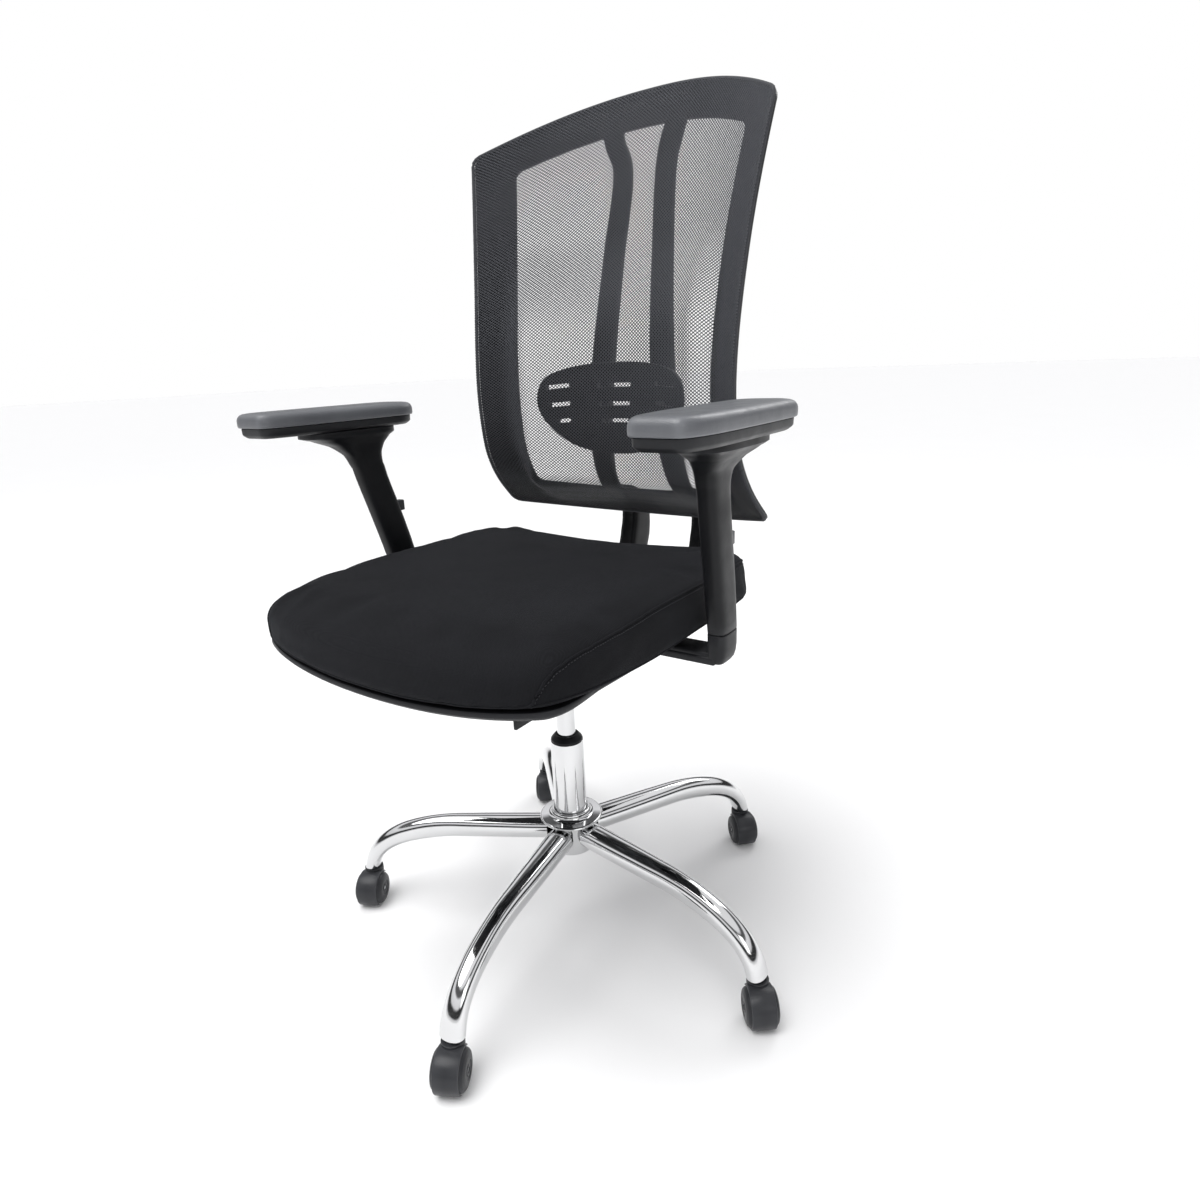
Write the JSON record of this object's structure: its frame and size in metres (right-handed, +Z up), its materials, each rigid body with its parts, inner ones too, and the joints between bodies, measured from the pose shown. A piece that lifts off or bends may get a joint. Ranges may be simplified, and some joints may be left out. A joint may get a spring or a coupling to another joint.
{
  "type": "swivel office chair",
  "caption": "Office chair with a chrome star base on twin-wheel casters, gas lift, padded seat, T-shaped adjustable arms and a waisted see-through mesh back with a lumbar pad.",
  "frame": {"origin": "middle of the chair's bounding box on the floor, as it stands in its rest pose", "axes": "+Z up, the sitter faces -Y, the sitter's left hand is towards +X"},
  "size_m": [0.7226, 0.7344, 1.216],
  "materials": {
    "chrome": "bright plated",
    "steel": "machined",
    "black_steel": "satin powder coat",
    "black_plastic": "fine-grained satin",
    "caster_plastic": "satin",
    "pad_polyurethane": "soft-touch skin",
    "seat_fabric": "woven",
    "back_fabric": "open mesh weave"
  },
  "bodies": {
    "base": {"base_hub": "chrome", "base_leg_1": "chrome", "base_leg_2": "chrome", "base_leg_3": "chrome", "base_leg_4": "chrome", "base_leg_5": "chrome", "lift_outer_tube": "chrome", "lift_guide_bush": "black_plastic", "lift_thrust_bearing": "steel", "caster_1_stem": "steel", "caster_2_stem": "steel", "caster_3_stem": "steel", "caster_4_stem": "steel", "caster_5_stem": "steel"},
    "caster_1": {"caster_1_hood": "caster_plastic", "caster_1_axle": "steel"},
    "caster_1_wheel_left": {"caster_1_wheel_left": "caster_plastic"},
    "caster_1_wheel_right": {"caster_1_wheel_right": "caster_plastic"},
    "caster_2": {"caster_2_hood": "caster_plastic", "caster_2_axle": "steel"},
    "caster_2_wheel_left": {"caster_2_wheel_left": "caster_plastic"},
    "caster_2_wheel_right": {"caster_2_wheel_right": "caster_plastic"},
    "caster_3": {"caster_3_hood": "caster_plastic", "caster_3_axle": "steel"},
    "caster_3_wheel_left": {"caster_3_wheel_left": "caster_plastic"},
    "caster_3_wheel_right": {"caster_3_wheel_right": "caster_plastic"},
    "caster_4": {"caster_4_hood": "caster_plastic", "caster_4_axle": "steel"},
    "caster_4_wheel_left": {"caster_4_wheel_left": "caster_plastic"},
    "caster_4_wheel_right": {"caster_4_wheel_right": "caster_plastic"},
    "caster_5": {"caster_5_hood": "caster_plastic", "caster_5_axle": "steel"},
    "caster_5_wheel_left": {"caster_5_wheel_left": "caster_plastic"},
    "caster_5_wheel_right": {"caster_5_wheel_right": "caster_plastic"},
    "lift_rod": {"lift_piston_rod": "steel"},
    "mechanism": {"lift_cylinder": "chrome", "tilt_housing": "black_steel", "tilt_spring": "steel", "seat_pivot_pin": "steel", "back_pivot_pin": "steel"},
    "release_pin": {"lift_release_pin": "steel"},
    "lift_lever": {"lift_lever": "black_plastic"},
    "lock_lever": {"tilt_lock_lever": "black_plastic"},
    "tension_knob": {"tilt_tension_knob": "black_plastic"},
    "seat": {"seat_tray": "black_plastic", "seat_cushion": "seat_fabric", "arm_bracket_left": "black_plastic", "arm_bracket_right": "black_plastic"},
    "arm_left": {"arm_sleeve_left": "black_plastic"},
    "arm_button_left": {"arm_button_left": "caster_plastic"},
    "arm_pad_left": {"arm_pad_base_left": "black_plastic", "arm_pad_left": "pad_polyurethane"},
    "arm_right": {"arm_sleeve_right": "black_plastic"},
    "arm_button_right": {"arm_button_right": "caster_plastic"},
    "arm_pad_right": {"arm_pad_base_right": "black_plastic", "arm_pad_right": "pad_polyurethane"},
    "back": {"back_bracket": "black_plastic", "back_frame": "black_plastic", "back_mesh": "back_fabric"},
    "lumbar": {"lumbar_pad": "black_plastic"}
  },
  "joints": [
    {"name": "caster_1_swivel", "type": "hinge", "parent": "base", "child": "caster_1", "pos_m": [0.0436, -0.32056, 0.045], "axis": [0, 0, 1], "continuous": true},
    {"name": "caster_1_wheel_left_spin", "type": "hinge", "parent": "caster_1", "child": "caster_1_wheel_left", "pos_m": [0.05111, -0.33468, 0.025], "axis": [0.8829, 0.4695, 0], "continuous": true},
    {"name": "caster_1_wheel_right_spin", "type": "hinge", "parent": "caster_1", "child": "caster_1_wheel_right", "pos_m": [0.05111, -0.33468, 0.025], "axis": [0.8829, 0.4695, 0], "continuous": true},
    {"name": "caster_2_swivel", "type": "hinge", "parent": "base", "child": "caster_2", "pos_m": [0.3216, -0.03667, 0.045], "axis": [0, 0, 1], "continuous": true},
    {"name": "caster_2_wheel_left_spin", "type": "hinge", "parent": "caster_2", "child": "caster_2_wheel_left", "pos_m": [0.33123, -0.04944, 0.025], "axis": [0.7986, 0.6018, 0], "continuous": true},
    {"name": "caster_2_wheel_right_spin", "type": "hinge", "parent": "caster_2", "child": "caster_2_wheel_right", "pos_m": [0.33123, -0.04944, 0.025], "axis": [0.7986, 0.6018, 0], "continuous": true},
    {"name": "caster_3_swivel", "type": "hinge", "parent": "base", "child": "caster_3", "pos_m": [0.13752, 0.31546, 0.045], "axis": [0, 0, 1], "continuous": true},
    {"name": "caster_3_wheel_left_spin", "type": "hinge", "parent": "caster_3", "child": "caster_3_wheel_left", "pos_m": [0.14863, 0.30395, 0.025], "axis": [0.7193, 0.6947, 0], "continuous": true},
    {"name": "caster_3_wheel_right_spin", "type": "hinge", "parent": "caster_3", "child": "caster_3_wheel_right", "pos_m": [0.14863, 0.30395, 0.025], "axis": [0.7193, 0.6947, 0], "continuous": true},
    {"name": "caster_4_swivel", "type": "hinge", "parent": "base", "child": "caster_4", "pos_m": [-0.25426, 0.2492, 0.045], "axis": [0, 0, 1], "continuous": true},
    {"name": "caster_4_wheel_left_spin", "type": "hinge", "parent": "caster_4", "child": "caster_4_wheel_left", "pos_m": [-0.24508, 0.23609, 0.025], "axis": [0.8192, 0.5736, 0], "continuous": true},
    {"name": "caster_4_wheel_right_spin", "type": "hinge", "parent": "caster_4", "child": "caster_4_wheel_right", "pos_m": [-0.24508, 0.23609, 0.025], "axis": [0.8192, 0.5736, 0], "continuous": true},
    {"name": "caster_5_swivel", "type": "hinge", "parent": "base", "child": "caster_5", "pos_m": [-0.31231, -0.14388, 0.045], "axis": [0, 0, 1], "continuous": true},
    {"name": "caster_5_wheel_left_spin", "type": "hinge", "parent": "caster_5", "child": "caster_5_wheel_left", "pos_m": [-0.3048, -0.15801, 0.025], "axis": [0.8829, 0.4695, 0], "continuous": true},
    {"name": "caster_5_wheel_right_spin", "type": "hinge", "parent": "caster_5", "child": "caster_5_wheel_right", "pos_m": [-0.3048, -0.15801, 0.025], "axis": [0.8829, 0.4695, 0], "continuous": true},
    {"name": "seat_swivel", "type": "hinge", "parent": "base", "child": "lift_rod", "pos_m": [-0.01277, 0.01271, 0.125], "axis": [0, 0, 1], "continuous": true},
    {"name": "seat_height", "type": "slide", "parent": "lift_rod", "child": "mechanism", "axis": [0, 0, 1], "range_m": [-0.065, 0.01]},
    {"name": "back_recline", "type": "hinge", "parent": "mechanism", "child": "back", "pos_m": [-0.01277, 0.07271, 0.424], "axis": [-1, 0, 0], "range_deg": [0, 18], "stiffness_Nm_per_rad": 60, "springref_deg": -20.05},
    {"name": "seat_tilt", "type": "hinge", "parent": "mechanism", "child": "seat", "pos_m": [-0.01277, -0.08529, 0.434], "axis": [-1, 0, 0], "range_deg": [0, 7.2], "stiffness_Nm_per_rad": 120, "springref_deg": -20.05},
    {"name": "lift_lever_pull", "type": "hinge", "parent": "mechanism", "child": "lift_lever", "pos_m": [-0.05877, 0.01271, 0.439], "axis": [0, 1, 0], "range_deg": [0, 4], "stiffness_Nm_per_rad": 4, "springref_deg": -5.73},
    {"name": "release_pin_press", "type": "slide", "parent": "mechanism", "child": "release_pin", "axis": [0, 0, -1], "range_m": [0, 0.0033]},
    {"name": "lock_lever_turn", "type": "hinge", "parent": "mechanism", "child": "lock_lever", "pos_m": [-0.05877, -0.03229, 0.436], "axis": [0, 1, 0], "range_deg": [-4, 0]},
    {"name": "tension_knob_turn", "type": "hinge", "parent": "mechanism", "child": "tension_knob", "pos_m": [-0.01277, -0.05329, 0.38], "axis": [0, 0, 1], "continuous": true},
    {"name": "arm_left_height", "type": "slide", "parent": "seat", "child": "arm_left", "axis": [0.0541, -0.2568, 0.9649], "range_m": [0, 0.07]},
    {"name": "arm_left_button", "type": "slide", "parent": "arm_left", "child": "arm_button_left", "axis": [0, -1, 0], "range_m": [0, 0.004], "stiffness_N_per_m": 400, "springref_m": -0.003},
    {"name": "arm_left_pad_slide", "type": "slide", "parent": "arm_left", "child": "arm_pad_left", "axis": [0, 1, 0], "range_m": [-0.02, 0.02]},
    {"name": "arm_right_height", "type": "slide", "parent": "seat", "child": "arm_right", "axis": [-0.0541, -0.2568, 0.9649], "range_m": [0, 0.07]},
    {"name": "arm_right_button", "type": "slide", "parent": "arm_right", "child": "arm_button_right", "axis": [0, -1, 0], "range_m": [0, 0.004], "stiffness_N_per_m": 400, "springref_m": -0.003},
    {"name": "arm_right_pad_slide", "type": "slide", "parent": "arm_right", "child": "arm_pad_right", "axis": [0, 1, 0], "range_m": [-0.02, 0.02]},
    {"name": "lumbar_height", "type": "slide", "parent": "back", "child": "lumbar", "axis": [0, 0, 1], "range_m": [-0.008, 0.008]}
  ],
  "couplings": [
    {"joint": "seat_tilt", "follows": "back_recline", "ratio": 0.4},
    {"joint": "release_pin_press", "follows": "lift_lever_pull", "m_per_rad": 0.046}
  ]
}
